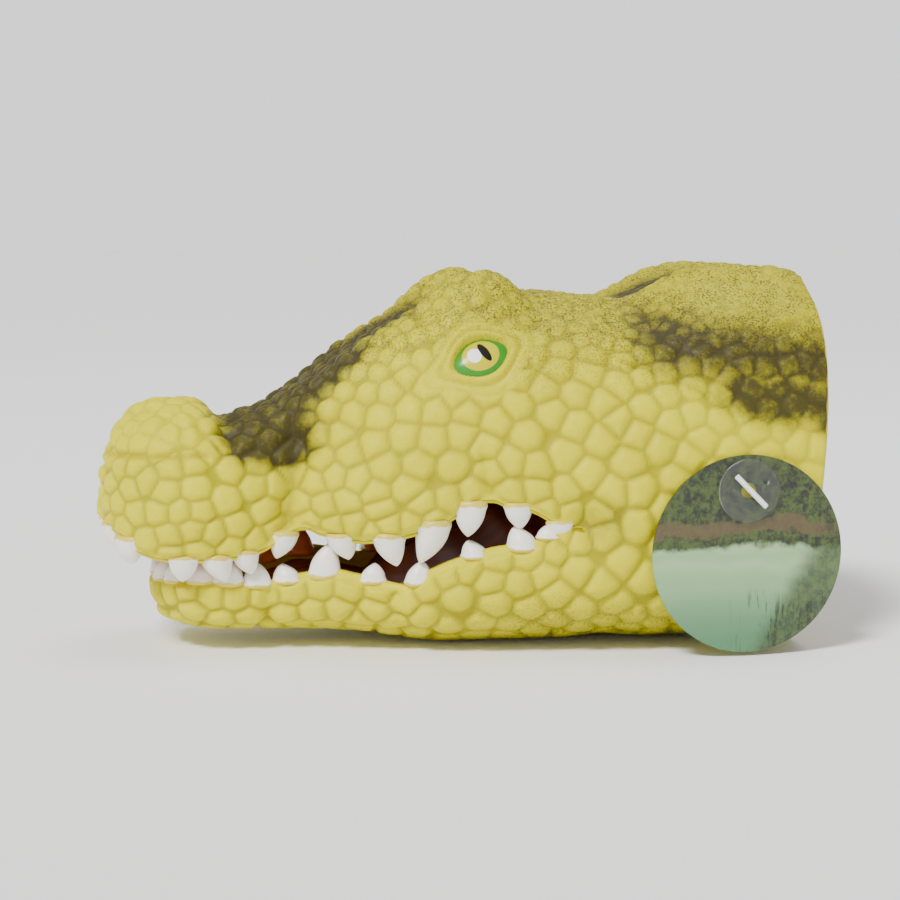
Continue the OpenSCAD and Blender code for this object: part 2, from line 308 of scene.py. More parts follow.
def roof(s, a, inside):
    """Upper skin: the vault from lip to lip over the back, with its ridges on the outer side."""
    x, along, z, rise = vault(
        s, a, upper_half, 0, inside, upper_lip,
        lambda q: smooth_curve(SPINE_TOP, q) - inside, *ROOF_ARCH,
    )
    z = z + rise * ridges(x, along) * (inside == 0)
    along = along + RIM_LEAN * rise * eased((s[:, None] - LEAN_FROM) / (RIM_AT - LEAN_FROM))
    return np.stack([x, along, z * TALL], -1)


def hull(s, a, inside):
    """Lower skin: the vault turned over, from lip to lip under the jaw and the neck."""
    x, along, z, _ = vault(
        s, a, lower_half, JAW_AT, inside, lower_lip,
        lambda q: smooth_curve(KEEL, q) + inside, *HULL_ARCH,
    )
    return np.stack([-x, along, z * TALL], -1)


def shell_rows(surface, front, rear, a):
    """Rows of a skin: outer ones from tip to rim, a half round over the rim's cut edge, and inner
    ones back to the tip at the wall's depth. Also the number of rows before the mouth corner, of
    outer rows, and of rows behind the corner, which both skins share."""
    outer = surface(np.concatenate([front[:-1], rear]), a, 0)
    neck = np.linspace(RIM_AT, HINGE_AT, INNER_ROWS)
    inner = surface(np.concatenate([neck, front[::-INNER_STRIDE][1:-1], front[:1]]), a, WALL)
    turn = np.linspace(0, math.pi, RIM_ROWS + 2)[1:-1, None, None]
    rim = mixed(outer[-1], inner[0], (1 - np.cos(turn)) / 2)
    rim = rim + np.sin(turn) * np.array([0, RIM_ROUND, 0])
    shared = len(rear) + RIM_ROWS + INNER_ROWS
    return np.concatenate([outer, rim, inner]), len(front) - 1, len(outer), shared


def numbered(rows, cols, start, folded_last):
    """Vertex numbers of a grid whose first row, and last row if asked, is doubled on itself."""
    at = start + np.arange(rows * cols).reshape(rows, cols)
    half = np.minimum(np.arange(cols), cols - 1 - np.arange(cols))
    at[0] = at[0, 0] + half
    if folded_last:
        at[-1] = at[-1, 0] + half
    return at


def quads_of(at):
    """Four vertex numbers for each cell of a grid, in the order that faces out."""
    return np.stack([at[:-1, :-1], at[1:, :-1], at[1:, 1:], at[:-1, 1:]], -1).reshape(-1, 4)


def vertex_normals(points, quads):
    """Mean of the cross products of each face's diagonals, weighted by area, at every vertex."""
    p = points[quads]
    n = np.cross(p[:, 2] - p[:, 0], p[:, 3] - p[:, 1])
    total = np.stack(
        [np.bincount(quads.ravel(), np.repeat(n[:, k], 4), len(points)) for k in range(3)], -1
    )
    return total / np.maximum(np.linalg.norm(total, axis=1, keepdims=True), 1e-12)


# -------- relief of the casting


def eye_frame(points, normals, side):
    """Middle of an eye, its long axis, its short axis and its outward direction: the skin point
    nearest to the eye's station and height on that side, and its tangents."""
    far = (
        (points[:, 1] - EYE_AT) ** 2
        + (points[:, 2] - EYE_Z * TALL) ** 2
        + 1e6 * (points[:, 0] * side < 5)
    )
    k = np.argmin(far)
    middle, out = points[k], normals[k]
    back = np.array([0, 1, 0]) - out * out[1]
    back = back / np.linalg.norm(back)
    up = np.cross(out, back) * side
    up = up / np.linalg.norm(up)
    long = back * math.cos(EYE_TILT) + up * math.sin(EYE_TILT)
    tall = up * math.cos(EYE_TILT) - back * math.sin(EYE_TILT)
    return middle, long, tall, out


def eye_distance(points, eye):
    """Distance from an eye's middle, 1 on its almond edge, which is an ellipse whose height shrinks
    towards both corners; and how high over the long axis, on the same scale."""
    middle, long, tall, _ = eye
    u, v = (points - middle) @ long / EYE_LONG, (points - middle) @ tall / EYE_TALL
    near = np.linalg.norm(points - middle, axis=1) < EYE_REACH
    v = v / np.maximum(1 - EYE_PINCH * np.minimum(u * u, 1.6), 0.4)
    return np.where(near, np.hypot(u, v), FAR_OFF), v


def plate_size(x, s, z):
    """Distance between plates, mm: large on cheeks and jaw, small on the nostril knob and the bridge
    of the snout, grains over the neck, and small again round the mouth corner."""
    size = np.full(len(s), 6.3)
    size = mixed(size, 5.7, hump(s - 14, 14) * (z > 26))
    size = mixed(size, 7.2, eased((s - 98) / 14) * (1 - eased((z - 56) / 8)))
    size = mixed(size, 4.6, pad_share(s, z))
    bridge = eased((z - bridge_line(s, 32)) / 6) * eased((s - 24) / 6) * (1 - eased((s - 80) / 8))
    size = mixed(size, 4.1, bridge)
    neck = eased((z - 66) / 8) * eased((s - 78) / 10)
    size = mixed(size, 2.8, neck)
    size = mixed(size, 4.6, neck * hump(np.abs(x) - 15, 5) * eased((s - 125) / 8))
    size = mixed(size, 4.6, hump(s - 108, 7) * hump(z - 31, 7))
    size = mixed(size, 5.0, eased((s - 118) / 10) * hump(z - 60, 9))
    return size


def crowded(points, spacing, some, others):
    """Which of some points lie nearer to which others than a share of the mean of their spacings."""
    apart = np.linalg.norm(points[some][:, None] - points[others][None], axis=2)
    return apart < 0.5 * PLATE_CROWD * (spacing[some][:, None] + spacing[others][None])


def plate_seeds(points, spacing, rng):
    """Plate middles. Points are tried in random order, a batch at a time, and one is kept when it
    isn't crowded by a kept one or by an earlier one of its batch. Then each is moved twice to the
    middle of the points nearest it."""
    tries = rng.permutation(len(points))[:PLATE_TRIES]
    kept = tries[:1]
    for batch in np.array_split(tries[1:], PLATE_BATCHES):
        batch = batch[~crowded(points, spacing, batch, kept).any(1)]
        late = np.tril(crowded(points, spacing, batch, batch), -1).any(1)
        kept = np.concatenate([kept, batch[~late]])
    seeds, sample, n = points[kept], points[tries], len(kept)
    for _ in range(2):
        own = nearest_two(sample, seeds)[0]
        many = np.maximum(np.bincount(own, minlength=n), 1)[:, None]
        moved = np.stack([np.bincount(own, sample[:, k], n) for k in range(4)], -1) / many
        seeds = np.where(many > 2, moved, seeds).astype(np.float32)
    return seeds


def nearest_two(points, seeds):
    """Number of the nearest seed, the distance to it, and the distance to the edge shared with the
    next one: half the difference of their squared distances over the distance between them."""
    own, reach, edge = [], [], []
    square = (seeds**2).sum(1)
    for block in np.array_split(points, max(1, len(points) // 3000)):
        d = (block**2).sum(1)[:, None] + square - 2 * block @ seeds.T
        two = np.argpartition(d, 1, axis=1)[:, :2]
        pair = np.take_along_axis(d, two, 1)
        flip = pair[:, 0] > pair[:, 1]
        two[flip], pair[flip] = two[flip, ::-1], pair[flip, ::-1]
        apart = np.linalg.norm(seeds[two[:, 0]] - seeds[two[:, 1]], axis=1)
        own.append(two[:, 0])
        reach.append(np.sqrt(np.maximum(pair[:, 0], 0)))
        edge.append((pair[:, 1] - pair[:, 0]) / (2 * np.maximum(apart, 0.1)))
    return np.concatenate(own), np.concatenate(reach), np.concatenate(edge)


def neck_crease(s, z):
    """A fold that curves down over the side of the neck behind the eye."""
    return hump(z - 67 + 0.011 * (s - 112) ** 2, 0.9) * eased((s - 116) / 4) * eased((148 - s) / 4)


def lobes(s, z, sideways, roofed):
    """Large swellings and creases, mm along the normal: the snout lobe, the cheek and the rear lip
    swell, with creases between them; the jaw has three lobes; the mouth corner is drawn in."""
    upper = (
        2.2 * hump(s - 19, 12) * hump(z - 35, 12)
        - 3.2 * hump(past_seam(s, z), 3.0) * (1 - eased((z - 48) / 9))
        + 2.7 * hump(s - 62, 14) * hump(z - 39, 11)
        - 1.5 * hump(s - 87 + 0.12 * (z - 38), 1.7) * (1 - eased((z - 46) / 8))
        + 1.5 * hump(s - 98, 8) * hump(z - 46, 8)
        - 1.0 * hump(z - bridge_line(s, 29), 4) * hump(s - 52, 22)
        - 0.9 * neck_crease(s, z)
    )
    lower = (
        -1.5 * hump(s - 37.5, 1.8)
        - 1.7 * hump(s - 67.5 + 0.15 * (z - 8), 1.9)
        + 0.8 * hump(s - 24, 8)
        + 0.9 * hump(s - 53, 9)
        + 1.0 * hump(s - 84, 10)
    ) * (1 - eased((s - 98) / 8))
    corner = -2.8 * hump(s - 109, 5.5) * hump(z - 31.5, 4.5)
    corner = corner + 1.0 * hump(s - 119, 5) * hump(z - 34, 9)
    return sideways * (np.where(roofed, upper, lower) + corner)


def nostril_pad(x, s, z, up):
    """Smooth knob on the snout tip, mm: it swells over a ledge, has upright folds round its side,
    two commas of nostril on top, and a valley behind it."""
    around = np.arctan2(x / 14.5, (s - 14.5) / 11.5)
    knob = pad_share(s, z)
    folds = 0.3 * np.cos(17 * around + 1.2 * np.sin(5 * around)) * hump(z - 50.5, 3.2)
    holes = -1.6 * hump(np.hypot((s - 10) / 2.8, (np.abs(x) - 6 - 0.3 * (s - 10)) / 1.5), 1)
    valley = -1.6 * hump(s - 28.5, 2.4) * eased((z - 45) / 4)
    ledge = -0.6 * hump(z - LEDGE_Z, 1.0) * (1 - eased((s - 22) / 4))
    return knob * (0.5 + folds + holes * eased((up - 0.5) / 0.3)) + valley + ledge


def pad_share(s, z):
    """1 on the nostril knob, 0 off it."""
    return eased((z - 45.5) / 2.5) * (1 - eased((s - 22.5) / 4))


def airbrush_and_shade(x, s, z):
    """How much dark paint was sprayed on: behind the nostril pad and down its sides, up the middle
    of the bridge and a little down its flanks, along the valley of the neck and in two streaks on
    each side of the neck; and, as painted shade, in the fold behind the eye and lightly in the
    hollow behind the mouth corner."""
    behind_pad = 1.7 * hump(s - 38, 10.5) * eased((z - 39) / 10)
    bridge = 1.12 * hump(x, 12) * eased((s - 27) / 7) * (1 - 0.3 * eased((s - 66) / 20))
    valley = 0.98 * hump(x, 9) * eased((s - 96) / 14)
    below = smooth_curve(SPINE_TOP, s) - z
    flank = 1.1 * hump(below, 2.5 + 7.5 * (1 - eased((s - 34) / 28))) * eased((s - 27) / 7)
    bridge = np.maximum(bridge, flank * (1 - eased((s - 54) / 18)))
    streak = 0.95 * hump(z - (72 - 0.14 * (s - 122)), 9) * eased((s - 114) / 18)
    low_streak = 1.35 * hump(z - 59 + 0.12 * (s - 150) + 0.8 * np.sin(0.42 * s), 6.5)
    low_streak = low_streak * eased((s - 132) / 18) * (0.88 + 0.12 * np.sin(0.6 * s + 1))
    top = np.maximum(bridge * (1 - eased((s - 76) / 18)), valley) * eased((z - 46) / 6)
    # Painted shade in the neck crease and in the hollow behind the mouth corner.
    crease = 0.5 * neck_crease(s, z)
    corner = 0.5 * hump(s - 113, 8) * hump(z - 31, 8)
    return np.clip(np.maximum.reduce([behind_pad, top, streak, low_streak, crease, corner]), 0, 1)


def speckle_cover(s, z):
    """How thick the fine dark speckle is: thin on cheeks and snout, heavier over the back and under
    the throat."""
    back = eased((z - 56) / 22) * (0.35 + 0.65 * eased((s - 66) / 30))
    bridge = 0.75 * eased((z - bridge_line(s, 34)) / 10) * eased((s - 22) / 10)
    below = 0.7 * eased((s - 60) / 50) * (1 - eased((z - 3) / 16))
    return np.clip(np.maximum.reduce([back, bridge * (s < 90), below]) + 0.06, 0, 1)


def lid_folds(lid, v_eye):
    """Eyelids, mm along the normal: the socket sinks, and rings round it get fainter outwards. They
    stand higher over the eye than under it."""
    over_eye = eased(v_eye / 1.4 + 0.4)
    return (
        -1.5 * (1 - eased((lid - 0.86) / 0.16))
        + (0.9 + 0.9 * over_eye) * hump(lid - 1.22, 0.18)
        - 0.5 * hump(lid - 1.5, 0.1)
        + (0.2 + 0.45 * over_eye) * hump(lid - 1.74, 0.2)
        - 0.3 * hump(lid - 2.02, 0.13)
        + 0.25 * hump(lid - 2.3, 0.22)
    )


def build_skin():
    """Both skins as one welded surface, so that relief and normals run on over the seam behind the
    mouth corners. Relief moves each outer point along its normal: lobes, lids and plates, whose
    height falls to the grooves as a bell of the distance to the next plate."""
    rear = np.linspace(HINGE_AT, RIM_AT, REAR_ROWS)
    up_front = even_stations(upper_half, 0, HINGE_AT, GRID)
    low_front = even_stations(lower_half, JAW_AT, HINGE_AT, GRID)
    over = section_angles(OVER_COLUMNS, 40, 50, *ROOF_ARCH[1:])
    under = section_angles(UNDER_COLUMNS, 42, 28, *HULL_ARCH[1:])
    roof_pts, up_n, up_out, welded = shell_rows(roof, up_front, rear, over)
    hull_pts, low_n, low_out, _ = shell_rows(hull, low_front, rear, under)
    roof_count = roof_pts.shape[0] * roof_pts.shape[1]
    up = numbered(*roof_pts.shape[:2], 0, True)
    low = numbered(*hull_pts.shape[:2], roof_count, True)
    low[low_n : low_n + welded, 0] = up[up_n : up_n + welded, -1]
    low[low_n : low_n + welded, -1] = up[up_n : up_n + welded, 0]
    points = np.concatenate([roof_pts.reshape(-1, 3), hull_pts.reshape(-1, 3)])
    is_outer = np.zeros(len(points), bool)
    is_outer[up[:up_out].ravel()] = True
    is_outer[low[:low_out].ravel()] = True
    is_upper = np.arange(len(points)) < roof_count
    quads = np.concatenate([quads_of(up), quads_of(low)])
    normals = vertex_normals(points, quads)
    eyes = [eye_frame(points[is_outer], normals[is_outer], side) for side in (1, -1)]

    which = np.flatnonzero(is_outer)
    p, n = points[which], normals[which]
    x, s, z = p[:, 0], p[:, 1], p[:, 2] / TALL
    roofed = is_upper[which]
    lip = np.where(roofed, upper_lip(s), lower_lip(s))
    from_lip = np.abs(z - lip)
    open_front = eased((HINGE_AT - s) / 5)
    lip_fade = 1 - open_front * (1 - eased((from_lip - 0.3) / 1.6))
    apart = 7 * eased((HINGE_AT - s) / 10) * hump(from_lip, 10) * np.where(roofed, 1, -1)

    rng = np.random.default_rng(7)
    place4 = np.column_stack([p, apart]).astype(np.float32)
    spacing = plate_size(x, s, z).astype(np.float32)
    uneven = spacing * rng.uniform(0.72, 1.28, len(spacing)).astype(np.float32)
    seeds = plate_seeds(place4, uneven, rng)
    own, reach, edge = nearest_two(place4, seeds)
    chance = rng.random(len(seeds))[own]

    (lid, v_left), (lid_r, v_right) = (eye_distance(p, eye) for eye in eyes)
    v_eye = np.where(x > 0, v_left, v_right)
    lid = np.minimum(lid, lid_r)
    near_eye = 1 - eased((lid - 1.7) / 0.9)
    bare = (1 - near_eye) * (1 - 0.55 * pad_share(s, z)) * (1 - 0.45 * eased((s - 120) / 30))
    rounded = np.minimum(edge, np.maximum(0.67 * spacing - reach, 0))
    high = 0.165 * spacing * (1 - 0.35 * chance) * (1 - 0.45 * eased((4.2 - spacing) / 1.2))
    soft = 0.17 * spacing
    plates = high * (1 - hump(rounded, soft) + 0.5 * (1 - (reach / (0.6 * spacing)) ** 2))
    sideways = np.abs(n[:, 0]) ** 0.7
    relief = lip_fade * (
        lobes(s, z, sideways, roofed) + nostril_pad(x, s, z, n[:, 2])
    ) * (1 - near_eye) + lid_folds(lid, v_eye)
    relief = relief + plates * bare * lip_fade
    resting = eased((z - 0.4) / 3)
    under_side = eased((-n[:, 2] - 0.5) / 0.4)
    relief = mixed(relief, np.minimum(relief - high, 0) * resting, under_side)
    points[which] = p + n * relief[:, None]
    points[:, 2] = np.maximum(points[:, 2], 0)
    normals = vertex_normals(points, quads)

    everything = np.zeros((len(points), 4))
    # Painted shade: darkening in the grooves between plates, in the lid creases, along the ledge
    # round the nostril knob and in the crease across the upper lip.
    groove_shade = hump(rounded, 0.5 * soft) * bare * lip_fade
    groove_shade = np.maximum(groove_shade, 0.55 * hump(lid - 1.5, 0.08) + 0.25 * hump(lid - 2.02, 0.1))
    groove_shade = np.maximum(groove_shade, 0.7 * hump(z - LEDGE_Z, 0.8) * (1 - eased((s - 22) / 4)))
    seam_crease_shade = hump(past_seam(s, z), 1.4) * (1 - eased((z - 48) / 6)) * roofed
    groove_shade = np.maximum(groove_shade, 0.8 * seam_crease_shade * lip_fade)
    everything[which] = np.column_stack(
        [groove_shade, airbrush_and_shade(x, s, z), speckle_cover(s, z) * (1 - 0.5 * near_eye), chance]
    )
    marks = dict(zip(("groove_shade", "airbrush_and_shade", "speckle", "chance"), everything.T))
    marks["inside"] = 1.0 - is_outer
    return points, normals, marks, up, low, up_n, low_n, eyes


def lip_roll(points, grid, front_rows, halves, first, drop):
    """Rounded edge of a lip: a half ellipse from the skin's edge to the lining, carried from one
    mouth corner round the tip to the other. It thins out towards the corners."""
    edge_at = np.concatenate([grid[front_rows:0:-1, -1], grid[: front_rows + 1, 0]])
    edge = points[edge_at]
    s = edge[:, 1]
    deep = LIP_DEEP * eased((HINGE_AT - s) / 8)
    in_x, in_s = foot_line(halves, first, s, deep)
    inner = np.stack([np.sign(edge[:, 0]) * np.abs(in_x), in_s, edge[:, 2]], -1)
    inner[front_rows, 0] = 0
    turn = np.linspace(0, math.pi, LIP_COLUMNS + 1)[None, 1:, None]
    roll = mixed(edge[:, None], inner[:, None], (1 - np.cos(turn)) / 2)
    bulge = LIP_ROUND * deep[:, None, None] * np.sin(turn)
    roll = roll + bulge * np.array([0, 0, drop])
    new = len(points) + np.arange(len(roll) * LIP_COLUMNS).reshape(-1, LIP_COLUMNS)
    at = np.column_stack([edge_at, new])
    return roll.reshape(-1, 3), at[::-1] if drop > 0 else at


# -------- meshes


def to_frame(points):
    """Millimetres from the snout tip to metres in the row frame."""
    return (points - np.array([0, ORIGIN_AT, 0])) * MM


def put_in_scene(name, data):
    """A scene object for a mesh, a light or a camera."""
    made = bpy.data.objects.new(name, data)
    bpy.context.scene.collection.objects.link(made)
    return made


def make_piece(name, points, quads, marks, material, slot, normals=None):
    """A mesh object of these quads, with the vertices that no face uses left out, smooth shaded,
    with one number per vertex for each mark, and with the given normals if there are any."""
    used, back = np.unique(quads, return_inverse=True)
    quads = back.reshape(-1, 4)
    ends = np.concatenate([quads, quads[:, :1]], 1)
    keep = ends[:, 1:] != ends[:, :-1]
    loops, starts = quads[keep], np.concatenate([[0], np.cumsum(keep.sum(1))[:-1]])
    mesh = bpy.data.meshes.new(name)
    mesh.vertices.add(len(used))
    mesh.vertices.foreach_set("co", to_frame(points[used]).astype(np.float32).ravel())
    mesh.loops.add(len(loops))
    mesh.loops.foreach_set("vertex_index", loops.astype(np.int32))
    mesh.polygons.add(len(quads))
    mesh.polygons.foreach_set("loop_start", starts.astype(np.int32))
    mesh.update(calc_edges=True)
    mesh.polygons.foreach_set("use_smooth", np.ones(len(quads), bool))
    if normals is not None:
        mesh.normals_split_custom_set_from_vertices(normals[used].tolist())
    for key, values in marks.items():
        layer = mesh.attributes.new(key, "FLOAT", "POINT")
        layer.data.foreach_set("value", values[used].astype(np.float32))
    mesh.materials.append(material)
    made = put_in_scene(name, mesh)
    return made


def bend_at_throat(piece):
    """Bakes the piece's placement into its mesh."""
    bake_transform(piece)


def skin_with_lip(name, skin, grid, front_rows, halves, first, drop, material):
    """One of the two skins with its rolled lip. Behind the mouth corner it keeps the normals that
    both skins share, so that no seam shows there."""
    points, normals, marks = skin
    roll, roll_at = lip_roll(points, grid, front_rows, halves, first, drop)
    everything = np.concatenate([points, roll])
    quads = np.concatenate([quads_of(grid), quads_of(roll_at)])
    own = vertex_normals(everything, quads)
    shared = (points[:, 1] > HINGE_AT - 2) & (np.linalg.norm(normals, axis=1) > 0.5)
    own[: len(points)][shared] = normals[shared]
    run_on = {k: np.concatenate([v, np.zeros(len(roll))]) for k, v in marks.items()}
    return make_piece(name, everything, quads, run_on, material, "rubber_skin", own)


def tooth_row(teeth, halves, first, lips, way, rng):
    """Cones with swollen sides and a blunt point. A ring at share t of the length has radius
    (1 - t^2.1)^0.8 and a small swelling at the gum, is wider along the lip than across it, and its
    middle leans with t squared."""
    rings, sides = 16, 22
    s = np.array([first + t[0] for t in teeth])
    long = np.array([t[1] for t in teeth]) * TOOTH_STRETCH
    foot_x, foot_s = foot_line(halves, first, s, TOOTH_ROOT)
    edge_x, edge_s = foot_line(halves, first, s, 0)
    foot = np.stack([foot_x, foot_s, lips(s) * TALL], -1)
    out = np.stack([edge_x - foot_x, edge_s - foot_s, 0 * s], -1)
    out = out / np.linalg.norm(out, axis=1, keepdims=True)
    both = np.concatenate([foot, foot * [-1, 1, 1]])
    out = np.concatenate([out, out * [-1, 1, 1]])
    long = np.concatenate([long, long])
    along = np.cross(out, [0, 0, 1.0])
    lean = rng.uniform(-0.38, 0.38, len(both))[:, None, None]
    splay = rng.uniform(0.0, 0.16, len(both))[:, None, None]
    broad = (2.6 + 0.2 * long)[:, None, None] * rng.uniform(0.92, 1.08, (len(both), 1, 1))
    t = np.concatenate([[-0.25], np.linspace(-0.19, 1, rings - 1)])[None, :, None]
    around = np.linspace(0, 2 * math.pi, sides, endpoint=False)[None, None, :]
    ring = (1 - np.maximum(t, 0) ** 2.1) ** 0.8 + 0.12 * hump(t + 0.05, 0.12)
    ring = ring * (t > -0.2)
    far = long[:, None, None] * t
    wave = 1 + 0.05 * np.sin(3 * around + 9 * lean)
    a_part = lean * far * np.abs(t) + 0.95 * broad * ring * wave * np.cos(around)
    o_part = splay * far - 0.1 * far * t + 0.8 * broad * ring * wave * np.sin(around)
    z_part = way * far + 0 * around
    points = (
        both[:, None, None, :]
        + a_part[..., None] * along[:, None, None, :]
        + o_part[..., None] * out[:, None, None, :]
        + z_part[..., None] * np.array([0, 0, 1.0])
    )
    count = len(both)
    at = np.arange(count * rings * sides).reshape(count, rings, sides)
    at = np.concatenate([at, at[:, :, :1]], 2)
    at[:, -1] = at[:, -1, :1]
    at[:, 0] = at[:, 0, :1]
    if way < 0:
        at = at[:, :, ::-1]
    quads = np.stack([at[:, :-1, :-1], at[:, :-1, 1:], at[:, 1:, 1:], at[:, 1:, :-1]], -1)
    outer = np.sin(around) + 0 * far
    tip = t + 0 * around + 0 * far
    marks = {"outer": outer.ravel(), "height": tip.ravel()}
    return points.reshape(-1, 3), quads.reshape(-1, 4), marks


def lining_rows(s, a, halves, first, lips, way, crest, arch):
    """Roof or floor of the mouth, from the inner edge of one lip to the other: its crest stands off
    the lips' height, up if way is 1 and down if it is -1."""
    x, along, z, rise = vault(
        s, a, halves, first, LINING_IN, lambda q: lips(q) + way * LINING_OFF,
        lambda q: lips(q) + way * smooth_curve(crest, q), *arch,
    )
    return np.stack([way * x, along, z * TALL], -1), rise


def build_linings():
    """Palate, and mouth floor with the soft wall behind it that joins the two. The palate has a
    furrow along its middle, and the floor a pressed-in fold along the gum. Their marks carry
    painted shade: darker deeper in the mouth and up the vault, darkest on the wall, and a dark
    band on the gum walls and in the floor's fold."""
    a = section_angles(LINING_COLUMNS, 36, 8, *PALATE_ARCH[1:])
    last = HINGE_AT - 0.3
    up = upper_half, 0
    low = lower_half, JAW_AT
    s_up = even_stations(*up, last, LINING_GRID)
    s_low = even_stations(*low, last, LINING_GRID)
    palate, rise_up = lining_rows(s_up, a, *up, upper_lip, 1, PALATE_RISE, PALATE_ARCH)
    floor, rise_low = lining_rows(s_low, a, *low, lower_lip, -1, FLOOR_FALL, FLOOR_ARCH)
    across = np.abs(np.cos(a))[None, :]
    # Painted shade: a dark band on the palate's wall just inside the upper lip.
    gum_shade_up = 0.8 * hump(rise_up - 0.4, 0.42) * np.ones((len(s_up), 1))
    palate[..., 2] -= 0.8 * hump(across, 0.05) * eased((s_up - 20) / 20)[:, None]
    fold = hump(across - 0.84, 0.02) * eased((s_low - 26) / 10)[:, None]
    floor[..., 2] -= 0.8 * fold * eased((HINGE_AT - s_low) / 12)[:, None]
    t = np.linspace(0, 1, THROAT_ROWS + 1)[1:, None, None]
    wall = mixed(floor[-1], palate[-1, ::-1], t)
    wall = wall + np.sin(math.pi * t) * np.array([0, 4.5, 0]) * rise_up[-1, ::-1, None]
    whole = np.concatenate([floor, wall])
    # Painted shade: darker towards the throat and up the vault; the wall at the back is darkest.
    throat_shade_up = eased((s_up - 15) / 80)[:, None] * (0.4 + 0.6 * rise_up)
    throat_shade_low = eased((s_low - 25) / 75)[:, None] * (0.4 + 0.6 * rise_low)
    throat_shade_low = np.concatenate([throat_shade_low, np.ones((THROAT_ROWS, len(a)))])
    # Painted shade: the floor's fold and the gum wall inside the lower lip are darkened.
    fold = np.maximum(fold, 0.85 * hump(rise_low - 0.42, 0.36))
    fold = np.concatenate([fold, np.zeros((THROAT_ROWS, len(a)))])
    # The deep and fold marks carry painted shade.
    return [
        (rows.reshape(-1, 3), quads_of(numbered(*rows.shape[:2], 0, False))[:, ::-1],
         {"deep": deep.ravel(), "fold": dark.ravel()})
        for rows, deep, dark in ((palate, throat_shade_up, gum_shade_up), (whole, throat_shade_low, fold))
    ]


def build_eye(eye):
    """Painted mound of an eye: a shallow dome on the almond outline. Height over the skin's plane
    falls as the root of 1.25 - r^2, and r runs a little past the outline's 1 so that the rim is
    sunk in the lids. Marks say where each paint lies."""
    middle, long, tall, out = eye
    rings, spokes, over_rim = 70, 120, 1.06
    r = np.linspace(0, 1.08, rings)[:, None]
    around = np.linspace(0, 2 * math.pi, spokes, endpoint=False)[None, :]
    u, v = r * np.cos(around), r * np.sin(around)
    v = v * (1 - EYE_PINCH * u * u)
    up = 2.3 * np.sqrt(np.maximum(1.25 - r * r, 0)) - 1.9 + 0 * around
    points = (
        middle
        + (u * EYE_LONG)[..., None] * long
        + (v * EYE_TALL)[..., None] * tall
        + up[..., None] * out
    )
    um, vm = u * EYE_LONG / over_rim, v * EYE_TALL / over_rim
    iris = 1 - eased((np.hypot(um / 4.3, (vm - 0.3) / 3.6) - 0.96) / 0.08)
    slit = 1 - eased((np.hypot((um - 1.2 + 0.15 * vm) / 0.95, (vm - 0.6) / 2.5) - 0.9) / 0.2)
    glint = 1 - eased((np.hypot((um + 1.3) / 1.6, (vm - 0.7) / 1.8) - 0.94) / 0.12)
    at = np.arange(rings * spokes).reshape(rings, spokes)
    at = np.concatenate([at, at[:, :1]], 1)
    at[0] = at[0, 0]
    quads = quads_of(at)
    some = at[rings // 4, 0]
    if vertex_normals(points.reshape(-1, 3), quads)[some] @ out < 0:
        quads = quads[:, ::-1]
    marks = {"iris": iris.ravel(), "slit": slit.ravel(), "glint": glint.ravel()}
    return points.reshape(-1, 3), quads, marks


# -------- finishes


def linear(hex_colour):
    """Linear colour of an sRGB hex value."""
    c = np.array([int(hex_colour[k : k + 2], 16) / 255 for k in (1, 3, 5)])
    c = np.where(c <= 0.04045, c / 12.92, ((c + 0.055) / 1.055) ** 2.4)
    return (*c.tolist(), 1.0)


def add(m, kind, settings=None, links=None):
    """Adds a node, sets its properties, and sets or links its inputs. Returns its first output."""
    made = m.node_tree.nodes.new(kind)
    for key, value in (settings or {}).items():
        setattr(made, key, value)
    for key, value in (links or {}).items():
        if isinstance(value, bpy.types.NodeSocket):
            m.node_tree.links.new(value, made.inputs[key])
        else:
            made.inputs[key].default_value = value
    return made.outputs[0]


def finish_named(name):
    """An empty node material with that name."""
    m = bpy.data.materials.new(name)
    m.use_nodes = True
    m.node_tree.nodes.clear()
    return m


def surface(m, links):
    """Ends the material in one Principled surface with these inputs."""
    shader = add(m, "ShaderNodeBsdfPrincipled", None, links)
    out = m.node_tree.nodes.new("ShaderNodeOutputMaterial")
    m.node_tree.links.new(shader, out.inputs["Surface"])
    return m


def mark(m, name):
    """A number carried on the mesh."""
    made = m.node_tree.nodes.new("ShaderNodeAttribute")
    made.attribute_name = name
    return made.outputs["Fac"]


def blended(m, share, under, over):
    """Colour over laid on colour under by a share."""
    links = {"Fac": share, "Color1": under, "Color2": over}
    return add(m, "ShaderNodeMixRGB", None, links)


def sums(m, operation, a, b):
    """Arithmetic on two numbers."""
    return add(m, "ShaderNodeMath", {"operation": operation}, {0: a, 1: b})


def times(m, a, b):
    """Product of two numbers."""
    return sums(m, "MULTIPLY", a, b)


def painted(m, under, share, strength, hex_colour):
    """Colour under with paint of another colour laid on it, by a share times a strength."""
    return blended(m, times(m, share, strength), under, linear(hex_colour))


def ranged(m, value, low, high):
    """From low to high as the value goes from 0 to 1."""
    links = {"Value": value, "To Min": low, "To Max": high}
    return add(m, "ShaderNodeMapRange", None, links)


def ramped(m, value, low, high):
    """0 below low, 1 above high, smooth between."""
    return add(
        m, "ShaderNodeMapRange", {"interpolation_type": "SMOOTHSTEP"},
        {"Value": value, "From Min": low, "From Max": high},
    )


def own_place(m):
    """The object's own coordinates."""
    return m.node_tree.nodes.new("ShaderNodeTexCoord").outputs["Object"]


def noise(m, size_mm, detail=2.0, rough=0.5):
    """Noise with features of a real size, on the object's own coordinates."""
    return add(
        m, "ShaderNodeTexNoise", None,
        {"Vector": own_place(m), "Scale": 1 / (size_mm * MM), "Detail": detail,
         "Roughness": rough},
    )


def bump(m, height, deep_mm, strength):
    """Bump of a real depth."""
    links = {"Height": height, "Distance": deep_mm * MM, "Strength": strength}
    return add(m, "ShaderNodeBump", None, links)


